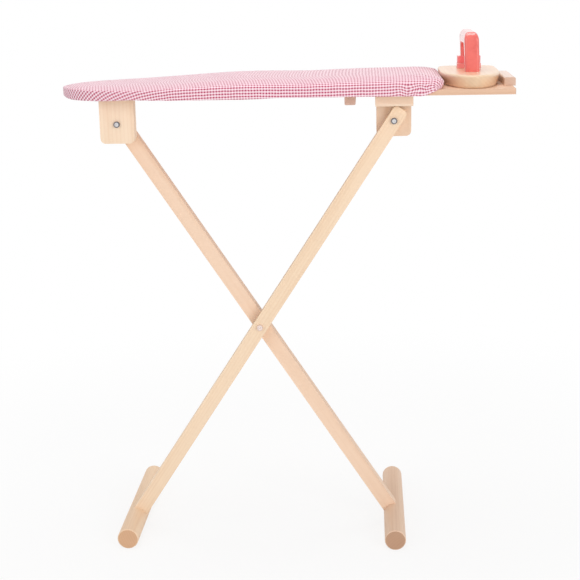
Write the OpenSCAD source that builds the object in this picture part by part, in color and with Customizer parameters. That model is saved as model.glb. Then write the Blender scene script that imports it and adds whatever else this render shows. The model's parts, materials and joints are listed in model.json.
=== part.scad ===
// Toy ironing board on a folding cross-leg stand, with a wooden toy iron on its bare end.
// Millimetres. +Z is up, +X runs from the nose to the iron rest, and -Y is the side seen first.
// The origin is on the floor, in the middle of the whole outline.

/* [Stand] */
// Distance from each top pivot to the crossing bolt
leg_upper = 280; // [230:1:310]
// Distance from the crossing bolt to the axis of the foot rail
leg_lower = 280; // [230:1:310]
// Slope of the legs above the floor when the stand is set up, in degrees
leg_slope = 56.8; // [54:0.1:60]
// Width of each leg slat, across its flat face
slat_w = 16.5; // [14:0.5:18]
// Thickness of each leg slat and bracket plate
slat_t = 14; // [11:0.5:16]
// Length of the slat past its top pivot
slat_top = 15.5; // [13:0.5:15.5]
// Diameter of the round foot rails
foot_d = 24; // [20:1:26]
// Length of the round foot rails
foot_len = 198; // [180:1:220]
// How far the pair of legs stands in front of the board's middle line
leg_offset = 22.5; // [14:0.5:26]

/* [Brackets] */
// Width of the bracket plates
plate_w = 38.5; // [36:0.5:46]
// Depth of the left plate below its pivot
left_drop = 21.4; // [16:0.1:24]
// Depth of the right plate below its pivot
right_drop = 18.6; // [16:0.1:24]
// Radius of the rounded lower corners of the plates
plate_r = 6; // [3:0.5:9]
// Height from the pivots to the underside of the board
pivot_drop = 31.2; // [30:0.1:36]
// Height of the blocks that carry the plates
block_h = 13.7; // [11:0.1:13.7]
// Depth of the blocks, front to back
block_d = 29; // [24:1:34]
// Length of the blocks along the board
block_w = 41; // [40:1:46]

/* [Board] */
// Reach of the board's nose to the left of the crossing bolt
nose_reach = 218; // [205:1:230]
// Width of the board
deck_w = 156; // [150:1:170]
// Thickness of the board
deck_t = 6; // [6:0.5:9]
// Corner radius of the board at the iron rest
deck_r = 2; // [2:0.5:8]
// Length of the tapered nose
nose_len = 150; // [130:1:180]
// Fullness of the nose: 2 is an ellipse, less is more pointed
nose_full = 2; // [1.7:0.05:2.2]
// Where the padded cover ends, to the right of the crossing bolt
pad_reach = 203.5; // [195:0.5:215]
// Thickness of the padding at the nose
pad_nose = 5.6; // [4:0.2:9]
// Thickness of the padding at the iron rest
pad_heel = 12.8; // [9:0.2:14]
// Distance from the nose tip to where the padding starts to grow thicker
pad_from = 68; // [40:1:90]
// Length over which the padding grows thicker
pad_rise = 230; // [180:1:280]
// Height of the crown in the middle of the padding
pad_crown = 2; // [1:0.2:4]
// Corner radius of the padding beside the iron rest
heel_r = 16; // [10:1:24]
// Width of the hem that turns in under the board
hem_lip = 12; // [8:1:16]

/* [Rest and cleat] */
// Width of the stop bar
bar_w = 12; // [11:0.5:14]
// Height of the stop bar
bar_h = 9; // [6:0.5:10]
// Length of the stop bar
bar_len = 88; // [60:1:100]
// How far the stop bar stands out past the board's end
bar_over = 3; // [0:0.5:3]
// Gap between the iron and the stop bar
bar_gap = 1.6; // [1:0.1:5]
// Gap between the padded cover and the iron
pad_gap = 1.7; // [0.5:0.1:6]
// Width of the cleat under the board
cleat_w = 12; // [10:0.5:15]
// Height of the cleat under the board
cleat_h = 12.5; // [8:0.5:14]
// Length of the cleat
cleat_len = 90; // [70:1:110]
// Distance of the cleat from the right pivot
cleat_set = 48; // [40:1:70]

/* [Iron] */
// Length of the iron's sole
sole_len = 144; // [130:1:146]
// Width of the iron's sole
sole_w = 65; // [58:1:66]
// Thickness of the iron's sole
sole_t = 14; // [12:0.5:16]
// How far the bottom of the sole is drawn in
sole_draft = 2.5; // [2:0.5:5]
// How far the iron's point stands in front of the board's middle line
tip_reach = 76; // [68:1:77]
// Fullness of the sole's point: 2 is an ellipse, less is more pointed
sole_full = 2; // [1.6:0.05:2.3]
// Length of the handle, outside to outside
grip_len = 80; // [74:1:88]
// Height of the handle above the sole
grip_h = 42.4; // [38:0.2:50]
// Distance from the iron's point to the front of the handle
grip_set = 47; // [40:1:52]
// Width of the handle across the iron
grip_w = 16; // [14:0.5:20]
// Thickness of the handle bar
grip_t = 14; // [11:0.5:15]
// Height of the lower tier in front of the handle's rear leg
step_h = 5.8; // [4:0.2:8]
// Height of the upper tier
tier_h = 8.2; // [6:0.2:10]
// Depth of the lower tier, front to back
tier_d = 16; // [10:1:24]

/* [Fastenings] */
// Diameter of the pivot bolts
bolt_d = 5; // [4:0.5:6]
// Diameter of the bolt heads
head_d = 6.8; // [6.6:0.2:9]
// Height of the bolt heads
head_h = 2.4; // [1.6:0.2:4]
// Thickness of the spacing washers
washer_t = 1; // [0.6:0.2:2]
// Diameter of the hidden wooden dowels
dowel_d = 6; // [5:0.5:8]
// Running clearance of a bolt in its hole, on the radius
run_fit = 0.05; // [0.02:0.01:0.1]

/* [Hidden] */
$fn = 64;
slide_gap = 0.3;
groove_side = 0.2;
groove_deep = 3.2;
peg_proud = 2.6;
peg_pitch = 24;
peg_in = 10;
dowel_plate = 9;
dowel_block = 18;
dowel_short = 8;
dowel_sole = 9;
dowel_grip = 12;
tier_over = 5.5;
tier_step = 1.5;
tier_fit = 0.1;
pad_swell = 2.2;
hem_t = 1.6;
hem_under = 1.2;
hem_stop = 15;
nut_af = 8;
nut_h = 4;
screw_d = 3.5;
screw_head_d = 7;
screw_head_h = 2.2;
foot_screw_len = 44;
foot_r = foot_d / 2;
leg_len = leg_upper + leg_lower;
cross_z = foot_r + leg_lower * sin(leg_slope);
pivot_z = cross_z + leg_upper * sin(leg_slope);
pivot_x = leg_upper * cos(leg_slope);
deck_z = pivot_z + pivot_drop;
deck_top = deck_z + deck_t;
rest_reach = pad_reach + pad_gap + sole_w + bar_gap + bar_w - bar_over;
origin_x = (rest_reach + bar_over - nose_reach - pad_swell) / 2;
front_y = -leg_offset - washer_t / 2 - slat_t;
mid_y = front_y + slat_t;
back_y = mid_y + washer_t;
rear_y = back_y + slat_t;
block_front = back_y - block_d;
groove_y = back_y - block_d / 2;
left_dowel_z = deck_z - block_h / 2;
right_dowel_z = deck_z - slide_gap - block_h / 2;
cleat_x = pivot_x - cleat_set;
bar_x = rest_reach + bar_over - bar_w / 2;
bar_screw_x = rest_reach - (bar_w - bar_over) / 2;
sole_x = pad_reach + pad_gap + sole_w / 2;
sole_tip = -tip_reach;
sole_heel = sole_tip + sole_len;
sole_nose = sole_len * 0.59;
grip_front = sole_tip + grip_set;
grip_rear = grip_front + grip_len;
grip_a = grip_front + grip_t / 2;
grip_b = grip_rear - grip_t / 2;
sole_top = deck_top + sole_t;
grip_r = 9;
grip_eye_r = 6;
left_block_w = plate_w - 10;

wood = [0.93, 0.80, 0.66];
wood_dark = [0.80, 0.66, 0.53];
cloth = [0.95, 0.78, 0.83];
coral = [0.93, 0.40, 0.36];
steel = [0.72, 0.73, 0.75];

function spow(v, p) = sign(v) * pow(abs(v), p);

// Outline of the board or its cover, drawn in by d, ending at xr with corners of radius r0
function outline(d, xr, r0) =
    let (h = deck_w / 2 - d, l = nose_len - d, x0 = nose_len - nose_reach)
    let (r = max(r0 - d, 2), e = xr - d - r)
    concat(
        [for (i = [0:36]) let (a = 90 - 5 * i)
            [x0 - l * spow(cos(a), 2 / nose_full), h * spow(sin(a), 2 / nose_full)]],
        [for (i = [1:4]) [x0 + (e - x0) * i / 4, -h]],
        [for (i = [1:5]) let (a = -90 + 18 * i) [e + r * cos(a), r - h + r * sin(a)]],
        [for (i = [1:3]) [e + r, (2 * i / 4 - 1) * (h - r)]],
        [for (i = [0:5]) let (a = 18 * i) [e + r * cos(a), h - r + r * sin(a)]],
        [for (i = [1:3]) [e - (e - x0) * i / 4, h]]
    );

// Padding thickness at x, which grows from the nose to the iron rest
function pad_at(x) =
    let (t = min(1, max(0, (x + nose_reach - pad_from) / pad_rise)))
    pad_nose + (pad_heel - pad_nose) * t * t * (3 - 2 * t);

// Triangles of a closed loft through rings of n points, with a fan at each end
function loft_faces(n, m) = concat(
    [for (j = [0:n - 1]) [n * m, j, (j + 1) % n]],
    [for (i = [0:m - 2], j = [0:n - 1]) [i * n + j, (i + 1) * n + j, (i + 1) * n + (j + 1) % n]],
    [for (i = [0:m - 2], j = [0:n - 1]) [i * n + j, (i + 1) * n + (j + 1) % n, i * n + (j + 1) % n]],
    [for (j = [0:n - 1]) [n * m + 1, (m - 1) * n + (j + 1) % n, (m - 1) * n + j]]
);

function mean(ring) = let (s = [for (p = ring) 1] * ring) s / len(ring);

module place() {
    translate([-origin_x, 0, 0]) children();
}

// A round bar along +Y from y0 to y1
module bar_y(r, y0, y1) {
    translate([0, y0, 0]) rotate([-90, 0, 0]) cylinder(r = r, h = y1 - y0);
}

// A flat shape drawn in X and Z, given a thickness from y0 to y1
module flat_y(y0, y1) {
    translate([0, y1, 0]) rotate([90, 0, 0]) linear_extrude(y1 - y0) children();
}

module rounded(w, l, r) {
    square([w - 2 * r, l], center = true);
    square([w, l - 2 * r], center = true);
    for (x = [-1, 1], y = [-1, 1]) translate([x * (w / 2 - r), y * (l / 2 - r)]) circle(r);
}

// Socket-head pivot bolt along +Y, its head seated at y0
module pivot_bolt(y0, y1) {
    difference() {
        union() {
            bar_y(bolt_d / 2, y0, y1);
            bar_y(head_d / 2, y0 - head_h, y0);
        }
        translate([0, y0 - head_h - 0.1, 0]) rotate([-90, 0, 0])
            cylinder(d = bolt_d * 0.68, h = 1.5, $fn = 6);
    }
}

module washer_y(y0) {
    difference() {
        bar_y(slat_w / 2 - 1.2, y0, y0 + washer_t);
        bar_y(bolt_d / 2 + run_fit, y0 - 1, y0 + washer_t + 1);
    }
}

module nut_y(y0) {
    difference() {
        translate([0, y0, 0]) rotate([-90, 0, 0]) cylinder(d = nut_af / cos(30), h = nut_h, $fn = 6);
        bar_y(bolt_d / 2 + run_fit, y0 - 1, y0 + nut_h + 1);
    }
}

module bolt_hole(y0, y1) {
    bar_y(bolt_d / 2 + run_fit, y0 - 1, y1 + 1);
}

// Countersunk wood screw pointing up, the bottom of its head at z = 0
module wood_screw(l) {
    rotate_extrude()
        polygon([[0, 0], [screw_head_d / 2, 0], [screw_d / 2, screw_head_h], [screw_d / 2, l - 4], [0, l]]);
}

// One leg slat, hanging from its top pivot at the origin and running along +X to the foot rail
module slat(y0) {
    difference() {
        flat_y(y0, y0 + slat_t) {
            translate([-slat_top + 5, -slat_w / 2]) square([leg_len + slat_top - 5, slat_w]);
            translate([-slat_top, -slat_w / 2 + 5]) square([10, slat_w - 10]);
            for (z = [-1, 1]) translate([5 - slat_top, z * (slat_w / 2 - 5)]) circle(5);
        }
        bolt_hole(y0, y0 + slat_t);
        translate([leg_upper, 0, 0]) bolt_hole(y0, y0 + slat_t);
        translate([leg_len, 0, 0]) bar_y(foot_r, y0 - 1, y0 + slat_t + 1);
        translate([leg_len, y0 + slat_t / 2, 0]) rotate([0, -90, 0])
            cylinder(d = screw_d, h = foot_screw_len - 8);
    }
}

// Foot rail on the slat's axis, in the same frame as the slat
module foot(y0) {
    translate([leg_len, 0, 0]) difference() {
        union() {
            bar_y(foot_r, 1 - foot_len / 2, foot_len / 2 - 1);
            for (e = [0, 1]) mirror([0, e, 0]) translate([0, foot_len / 2 - 1, 0]) rotate([-90, 0, 0])
                cylinder(r1 = foot_r, r2 = foot_r - 1, h = 1);
        }
        translate([0, y0 + slat_t / 2, 0]) rotate([0, -90, 0]) {
            translate([0, 0, -foot_r]) cylinder(d = screw_d, h = foot_d);
            translate([0, 0, -foot_r - 1]) cylinder(d = screw_head_d, h = 4);
        }
    }
}

// Screw that holds the foot rail, driven along the slat from under the rail
module foot_screw(y0) {
    translate([leg_len, y0 + slat_t / 2, 0]) rotate([0, -90, 0]) translate([0, 0, 3 - foot_r]) {
        translate([0, 0, -2]) cylinder(d = screw_head_d, h = 2);
        cylinder(d = screw_d, h = foot_screw_len);
    }
}

// Puts a leg in place: the back leg hangs from the left bracket, the front leg from the right one
module back_frame() {
    translate([-pivot_x, 0, pivot_z]) rotate([0, leg_slope, 0]) children();
}

module front_frame() {
    translate([pivot_x, 0, pivot_z]) rotate([0, 180 - leg_slope, 0]) children();
}

// Bracket plate with its pivot at the origin, up to z = top
module plate(y0, top, drop) {
    difference() {
        flat_y(y0, y0 + slat_t) {
            translate([-plate_w / 2, plate_r - drop]) square([plate_w, top + drop - plate_r]);
            translate([plate_r - plate_w / 2, -drop]) square([plate_w - 2 * plate_r, plate_r + 1]);
            for (x = [-1, 1]) translate([x * (plate_w / 2 - plate_r), plate_r - drop]) circle(plate_r);
        }
        bolt_hole(y0, y0 + slat_t);
    }
}

// Block of length w beside a plate, from y0 to y1 and up to z = top, with its free lower edge broken
module block(w, y0, y1, top, free) {
    c = 2;
    translate([-w / 2, 0, 0]) rotate([90, 0, 90]) linear_extrude(w) polygon(
        free < 0
        ? [[y0 + c, top - block_h], [y1, top - block_h], [y1, top], [y0, top], [y0, top - block_h + c]]
        : [[y0, top - block_h], [y1 - c, top - block_h], [y1, top - block_h + c], [y1, top], [y0, top]]
    );
}

module cross_dowel(x, z, y0, y1) {
    translate([x, 0, z]) bar_y(dowel_d / 2, y0, y1);
}

module deck_board() {
    color(wood) place() difference() {
        translate([0, 0, deck_z]) linear_extrude(deck_t) polygon(outline(0, rest_reach, deck_r));
        translate([pivot_x - peg_pitch / 2 - dowel_d, groove_y - dowel_d / 2 - groove_side, deck_z - 1])
            cube([rest_reach, dowel_d + 2 * groove_side, groove_deep + 1]);
        for (y = [-1, 1]) translate([bar_screw_x, y * bar_len / 4, deck_z]) wood_screw(deck_t + bar_h - 2);
        for (y = [-1, 1]) translate([-pivot_x, mid_y + block_d / 2 + y * block_d / 4, deck_top])
            rotate([180, 0, 0]) wood_screw(deck_t + block_h - 2);
    }
}

module pad_cushion() {
    rings = [
        [-1, 0, 0], [-pad_swell, 0.34, 0], [-pad_swell + 0.6, 0.56, 0], [1.4, 0.78, 0], [5.5, 0.92, 0],
        [12, 0.98, 0.3], [24, 1, 0.55], [42, 1, 0.85], [62, 1, 1]
    ];
    n = len(outline(0, pad_reach, heel_r));
    shape = [for (g = rings) [for (p = outline(g[0], pad_reach, heel_r))
        [p[0], p[1], deck_top + g[1] * pad_at(p[0]) + g[2] * pad_crown]]];
    ends = [mean(shape[0]), mean(shape[len(rings) - 1])];
    color(cloth) place()
        polyhedron(concat([for (g = shape) each g], ends), loft_faces(n, len(rings)), convexity = 4);
}

module cover_hem() {
    color(cloth) place() {
        translate([0, 0, deck_z]) linear_extrude(deck_t) intersection() {
            difference() {
                polygon(outline(-hem_t, pad_reach, heel_r));
                polygon(outline(0, rest_reach, deck_r));
            }
            translate([-nose_reach * 2, -deck_w])
                square([nose_reach * 2 + pad_reach - hem_stop, deck_w * 2]);
        }
        translate([0, 0, deck_z - hem_under]) linear_extrude(hem_under) intersection() {
            difference() {
                polygon(outline(-hem_t, pad_reach, heel_r));
                polygon(outline(hem_lip, rest_reach + deck_w, deck_r));
            }
            translate([-nose_reach * 2, -deck_w])
                square([nose_reach * 2 + pad_reach - hem_stop, deck_w * 2]);
        }
    }
}

module stop_bar() {
    c = 1.2;
    color(wood_dark) place() difference() {
        translate([bar_x, bar_len / 2, deck_top]) rotate([90, 0, 0]) linear_extrude(bar_len) polygon([
            [-bar_w / 2, 0], [bar_w / 2, 0], [bar_w / 2, bar_h - c], [bar_w / 2 - c, bar_h],
            [c - bar_w / 2, bar_h], [-bar_w / 2, bar_h - c]
        ]);
        for (y = [-1, 1]) translate([bar_screw_x, y * bar_len / 4, deck_z]) wood_screw(deck_t + bar_h - 2);
    }
}

module stop_bar_screws() {
    color(steel) place() for (y = [-1, 1])
        translate([bar_screw_x, y * bar_len / 4, deck_z]) wood_screw(deck_t + bar_h - 2);
}

module cross_cleat() {
    c = 1;
    color(wood_dark) place() difference() {
        translate([cleat_x, cleat_len / 2, deck_z]) rotate([90, 0, 0]) linear_extrude(cleat_len) polygon([
            [-cleat_w / 2, 0], [-cleat_w / 2, c - cleat_h], [c - cleat_w / 2, -cleat_h],
            [cleat_w / 2 - c, -cleat_h], [cleat_w / 2, c - cleat_h], [cleat_w / 2, 0]
        ]);
        for (y = [-1, 1]) translate([cleat_x, y * cleat_len / 3, deck_z - cleat_h]) wood_screw(cleat_h);
    }
}

module cleat_screws() {
    color(steel) place() for (y = [-1, 1])
        translate([cleat_x, y * cleat_len / 3, deck_z - cleat_h]) wood_screw(cleat_h);
}

module left_plate() {
    color(wood) place() difference() {
        translate([-pivot_x, 0, pivot_z]) plate(front_y, pivot_drop, left_drop);
        for (x = [-1, 1])
            cross_dowel(x * left_block_w / 4 - pivot_x, left_dowel_z, mid_y - dowel_plate, mid_y + 1);
    }
}

module left_block() {
    color(wood) place() difference() {
        translate([-pivot_x, 0, deck_z]) block(left_block_w, mid_y, mid_y + block_d, 0, 1);
        for (x = [-1, 1])
            cross_dowel(x * left_block_w / 4 - pivot_x, left_dowel_z, mid_y - 1, mid_y + dowel_block);
        for (y = [-1, 1]) translate([-pivot_x, mid_y + block_d / 2 + y * block_d / 4, deck_top])
            rotate([180, 0, 0]) wood_screw(deck_t + block_h - 2);
    }
}

module left_dowels() {
    color(wood_dark) place() for (x = [-1, 1])
        cross_dowel(x * left_block_w / 4 - pivot_x, left_dowel_z, mid_y - dowel_plate, mid_y + dowel_block);
}

module left_block_screws() {
    color(steel) place() for (y = [-1, 1])
        translate([-pivot_x, mid_y + block_d / 2 + y * block_d / 4, deck_top])
            rotate([180, 0, 0]) wood_screw(deck_t + block_h - 2);
}

module left_bolt() {
    color(steel) place() translate([-pivot_x, 0, pivot_z]) pivot_bolt(front_y, rear_y + nut_h + 0.5);
}

module left_washer() {
    color(steel) place() translate([-pivot_x, 0, pivot_z]) washer_y(mid_y);
}

module left_nut() {
    color(steel) place() translate([-pivot_x, 0, pivot_z]) nut_y(rear_y);
}

module back_leg() {
    color(wood) place() back_frame() slat(back_y);
}

module back_foot() {
    color(wood_dark) place() back_frame() foot(back_y);
}

module back_foot_screw() {
    color(steel) place() back_frame() foot_screw(back_y);
}

module cross_bolt() {
    color(steel) place() translate([0, 0, cross_z]) pivot_bolt(front_y, rear_y + nut_h + 0.5);
}

module cross_washer() {
    color(steel) place() translate([0, 0, cross_z]) washer_y(mid_y);
}

module cross_nut() {
    color(steel) place() translate([0, 0, cross_z]) nut_y(rear_y);
}

module front_leg() {
    color(wood) place() front_frame() slat(front_y);
}

module front_foot() {
    color(wood_dark) place() front_frame() foot(front_y);
}

module front_foot_screw() {
    color(steel) place() front_frame() foot_screw(front_y);
}

module right_plate() {
    color(wood) place() difference() {
        translate([pivot_x, 0, pivot_z]) plate(back_y, pivot_drop - slide_gap, right_drop);
        for (x = [-1, 1])
            cross_dowel(x * plate_w / 4 + pivot_x, right_dowel_z, back_y - 1, back_y + dowel_plate);
    }
}

module right_block() {
    color(wood) place() difference() {
        translate([pivot_x, 0, deck_z - slide_gap]) block(block_w, block_front, back_y, 0, -1);
        for (x = [-1, 1])
            cross_dowel(x * plate_w / 4 + pivot_x, right_dowel_z, back_y - dowel_short, back_y + 1);
        for (x = [-1, 1]) translate([pivot_x + x * peg_pitch / 2, groove_y, deck_z - slide_gap - peg_in])
            cylinder(d = dowel_d, h = peg_in + 2);
    }
}

module right_dowels() {
    color(wood_dark) place() for (x = [-1, 1])
        cross_dowel(x * plate_w / 4 + pivot_x, right_dowel_z, back_y - dowel_short, back_y + dowel_plate);
}

module guide_pegs() {
    color(wood_dark) place() for (x = [-1, 1])
        translate([pivot_x + x * peg_pitch / 2, groove_y, deck_z - slide_gap - peg_in])
            cylinder(d = dowel_d, h = peg_in + peg_proud);
}

module right_bolt() {
    color(steel) place() translate([pivot_x, 0, pivot_z]) pivot_bolt(front_y, rear_y + nut_h + 0.5);
}

module right_washer() {
    color(steel) place() translate([pivot_x, 0, pivot_z]) washer_y(mid_y);
}

module right_nut() {
    color(steel) place() translate([pivot_x, 0, pivot_z]) nut_y(rear_y);
}

// Plan of the iron's sole, its rounded point towards -Y, drawn in by d
module sole_plan(d) {
    w = sole_w / 2 - d;
    y0 = sole_tip + sole_nose;
    r = 15 - d;
    polygon(concat(
        [for (i = [0:30]) let (a = 6 * i)
            [w * spow(cos(a), 2 / sole_full), y0 - (sole_nose - d) * spow(sin(a), 2 / sole_full)]],
        [for (i = [0:6]) let (a = 180 - 15 * i) [r - w + r * cos(a), sole_heel - d - r + r * sin(a)]],
        [for (i = [0:6]) let (a = 90 - 15 * i) [w - r + r * cos(a), sole_heel - d - r + r * sin(a)]]
    ));
}

module iron_sole() {
    color(wood) place() difference() {
        translate([sole_x, 0, deck_top]) hull() {
            linear_extrude(0.2) sole_plan(sole_draft);
            translate([0, 0, sole_t - 3]) linear_extrude(1) sole_plan(0);
            translate([0, 0, sole_t - 0.2]) linear_extrude(0.2) sole_plan(1.6);
        }
        for (y = [grip_a, grip_b]) translate([sole_x, y, sole_top - dowel_sole])
            cylinder(d = dowel_d, h = dowel_sole + 1);
    }
}

// Tier of width w and height h at z0, from y0 back to the handle's rear leg
module tier(w, h, y0, z0) {
    y1 = grip_rear - grip_t - tier_fit;
    translate([sole_x, (y0 + y1) / 2, z0]) linear_extrude(h) rounded(w, y1 - y0, 2);
}

module iron_tier_lower() {
    color(coral) place()
        tier(grip_w + 2 * tier_over, step_h, grip_rear - grip_t - tier_d, sole_top);
}

module iron_tier_upper() {
    color(coral) place()
        tier(grip_w + 2 * tier_over - 1, tier_h, grip_rear - grip_t - tier_d + tier_step, sole_top + step_h);
}

// Handle: an arch sawn from one board, standing on the sole
module iron_handle() {
    top = sole_top + grip_h;
    color(coral) place() difference() {
        translate([sole_x - grip_w / 2, 0, 0]) rotate([90, 0, 90]) linear_extrude(grip_w) difference() {
            union() {
                translate([grip_front, sole_top]) square([grip_len, grip_h - grip_r]);
                translate([grip_front + grip_r, sole_top]) square([grip_len - 2 * grip_r, grip_h]);
                for (y = [grip_front + grip_r, grip_rear - grip_r])
                    translate([y, top - grip_r]) circle(grip_r);
            }
            translate([grip_front + grip_t, sole_top - 1])
                square([grip_len - 2 * grip_t, grip_h - grip_t - grip_eye_r + 1]);
            translate([grip_front + grip_t + grip_eye_r, sole_top - 1])
                square([grip_len - 2 * grip_t - 2 * grip_eye_r, grip_h - grip_t + 1]);
            for (y = [grip_front + grip_t + grip_eye_r, grip_rear - grip_t - grip_eye_r])
                translate([y, top - grip_t - grip_eye_r]) circle(grip_eye_r);
        }
        for (y = [grip_a, grip_b]) translate([sole_x, y, sole_top - 1])
            cylinder(d = dowel_d, h = dowel_grip + 1);
    }
}

module iron_dowels() {
    color(wood_dark) place() for (y = [grip_a, grip_b])
        translate([sole_x, y, sole_top - dowel_sole]) cylinder(d = dowel_d, h = dowel_sole + dowel_grip);
}

deck_board();
pad_cushion();
cover_hem();
stop_bar();
stop_bar_screws();
cross_cleat();
cleat_screws();
left_plate();
left_block();
left_dowels();
left_block_screws();
left_bolt();
left_washer();
left_nut();
back_leg();
back_foot();
back_foot_screw();
cross_bolt();
cross_washer();
cross_nut();
front_leg();
front_foot();
front_foot_screw();
right_plate();
right_block();
right_dowels();
guide_pegs();
right_bolt();
right_washer();
right_nut();
iron_sole();
iron_tier_lower();
iron_tier_upper();
iron_handle();
iron_dowels();
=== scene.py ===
"""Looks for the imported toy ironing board: padded gingham cover, eased wood, painted handle, plated bolts."""
import json
import math

import bmesh
import bpy
import numpy as np
from mathutils import Matrix, Vector, noise

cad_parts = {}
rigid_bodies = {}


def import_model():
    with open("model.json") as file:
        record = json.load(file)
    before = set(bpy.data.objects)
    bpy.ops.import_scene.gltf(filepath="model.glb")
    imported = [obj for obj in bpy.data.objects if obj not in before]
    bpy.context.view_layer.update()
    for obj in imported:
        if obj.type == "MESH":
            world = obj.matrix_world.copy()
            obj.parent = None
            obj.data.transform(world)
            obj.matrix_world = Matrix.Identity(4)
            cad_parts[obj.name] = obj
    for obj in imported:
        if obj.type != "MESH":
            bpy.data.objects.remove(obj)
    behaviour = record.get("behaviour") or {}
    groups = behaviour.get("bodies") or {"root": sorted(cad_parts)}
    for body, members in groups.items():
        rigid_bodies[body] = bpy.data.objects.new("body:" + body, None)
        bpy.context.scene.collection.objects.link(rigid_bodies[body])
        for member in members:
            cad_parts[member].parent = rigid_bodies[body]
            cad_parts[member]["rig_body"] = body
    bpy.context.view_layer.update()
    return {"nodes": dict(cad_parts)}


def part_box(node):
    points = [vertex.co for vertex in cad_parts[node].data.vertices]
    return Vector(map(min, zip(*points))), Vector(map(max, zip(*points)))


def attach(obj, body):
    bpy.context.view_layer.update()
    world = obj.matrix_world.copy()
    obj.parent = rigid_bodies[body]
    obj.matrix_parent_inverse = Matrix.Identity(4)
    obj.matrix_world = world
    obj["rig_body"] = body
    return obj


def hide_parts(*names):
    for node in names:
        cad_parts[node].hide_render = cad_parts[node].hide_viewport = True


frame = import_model()
NODES = frame["nodes"]
MM = 0.001
SCENE = bpy.context.scene


# ---- camera, taken from the photograph's viewing angle ----
CAM_AT = (0.0904, -1.4811, 0.6499)
CAM_YAW, CAM_PITCH, CAM_ROLL = math.radians(-3.442), math.radians(13.955), math.radians(-1.152)
CAM_FOCAL_PX, PHOTO_PX, SENSOR_MM = 1312.8, 580, 36.0


def make_camera():
    cy, sy, cp, sp = math.cos(CAM_YAW), math.sin(CAM_YAW), math.cos(CAM_PITCH), math.sin(CAM_PITCH)
    forward = Vector((sy * cp, cy * cp, -sp))
    right = Vector((cy, -sy, 0))
    up = right.cross(forward)
    r = math.cos(CAM_ROLL) * right + math.sin(CAM_ROLL) * up
    u = -math.sin(CAM_ROLL) * right + math.cos(CAM_ROLL) * up
    data = bpy.data.cameras.new("camera")
    data.sensor_width, data.sensor_fit = SENSOR_MM, "HORIZONTAL"
    data.lens = CAM_FOCAL_PX * SENSOR_MM / PHOTO_PX
    data.clip_start, data.clip_end = 0.05, 200
    cam = bpy.data.objects.new("camera", data)
    SCENE.collection.objects.link(cam)
    m = Matrix((r, u, -forward)).transposed().to_4x4()
    m.translation = Vector(CAM_AT)
    cam.matrix_world = m
    SCENE.camera = cam


make_camera()


# ---- shader helpers ----
def srgb(r, g, b):
    """A colour written as 8-bit sRGB, as linear RGBA."""
    f = [c / 255 for c in (r, g, b)]
    return tuple(c / 12.92 if c <= 0.04045 else ((c + 0.055) / 1.055) ** 2.4 for c in f) + (1.0,)


class Tree:
    """A short way to write node trees: each call makes a node and gives its main output."""

    def __init__(self, name):
        self.mat = bpy.data.materials.new(name)
        self.mat.use_nodes = True
        self.nt = self.mat.node_tree
        self.nt.nodes.clear()
        self.out = self.nt.nodes.new("ShaderNodeOutputMaterial")
        self.bsdf = self.nt.nodes.new("ShaderNodeBsdfPrincipled")
        self.nt.links.new(self.bsdf.outputs[0], self.out.inputs["Surface"])

    def put(self, socket, value):
        if isinstance(value, bpy.types.NodeSocket):
            self.nt.links.new(value, socket)
        elif value is not None:
            socket.default_value = value

    def node(self, kind, inputs=(), output=0, **props):
        n = self.nt.nodes.new("ShaderNode" + kind)
        for k, v in props.items():
            setattr(n, k, v)
        for k, v in dict(inputs).items():
            self.put(n.inputs[k], v)
        return n.outputs[output]

    def math(self, op, a, b=None, c=None, clamp=False):
        inputs = {i: v for i, v in enumerate((a, b, c)) if v is not None}
        return self.node("Math", inputs, operation=op, use_clamp=clamp)

    def vec(self, op, a, b=None, output=0):
        inputs = {i: v for i, v in enumerate((a, b)) if v is not None}
        return self.node("VectorMath", inputs, output, operation=op)

    def scaled(self, vector, scale):
        n = self.nt.nodes.new("ShaderNodeVectorMath")
        n.operation = "SCALE"
        self.put(n.inputs[0], vector)
        n.inputs["Scale"].default_value = scale
        return n.outputs[0]

    def mix(self, fac, a, b):
        n = self.nt.nodes.new("ShaderNodeMix")
        n.data_type = "RGBA"
        for s, v in ((0, fac), (6, a), (7, b)):
            self.put(n.inputs[s], v)
        return n.outputs[2]

    def ramp(self, fac, lo, hi):
        inputs = {0: fac, 1: lo, 2: hi, 3: 0.0, 4: 1.0}
        return self.node("MapRange", inputs, interpolation_type="SMOOTHSTEP")

    def noise(self, vector, scale, detail=2.0, rough=0.5):
        inputs = {"Vector": vector, "Scale": scale, "Detail": detail, "Roughness": rough}
        return self.node("TexNoise", inputs)

    def coords(self, output="Object"):
        return self.node("TexCoord", output=output)

    def bump(self, height, strength, distance):
        return self.node("Bump", {"Height": height, "Strength": strength, "Distance": distance})

    def set(self, **values):
        for k, v in values.items():
            self.put(self.bsdf.inputs[k.replace("_", " ")], v)
        return self.mat


def edge_mask(t):
    """1 on the rounded-over edges of an eased piece, and 0 on its faces."""
    return t.node("Attribute", output=2, attribute_name="edge")


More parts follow.
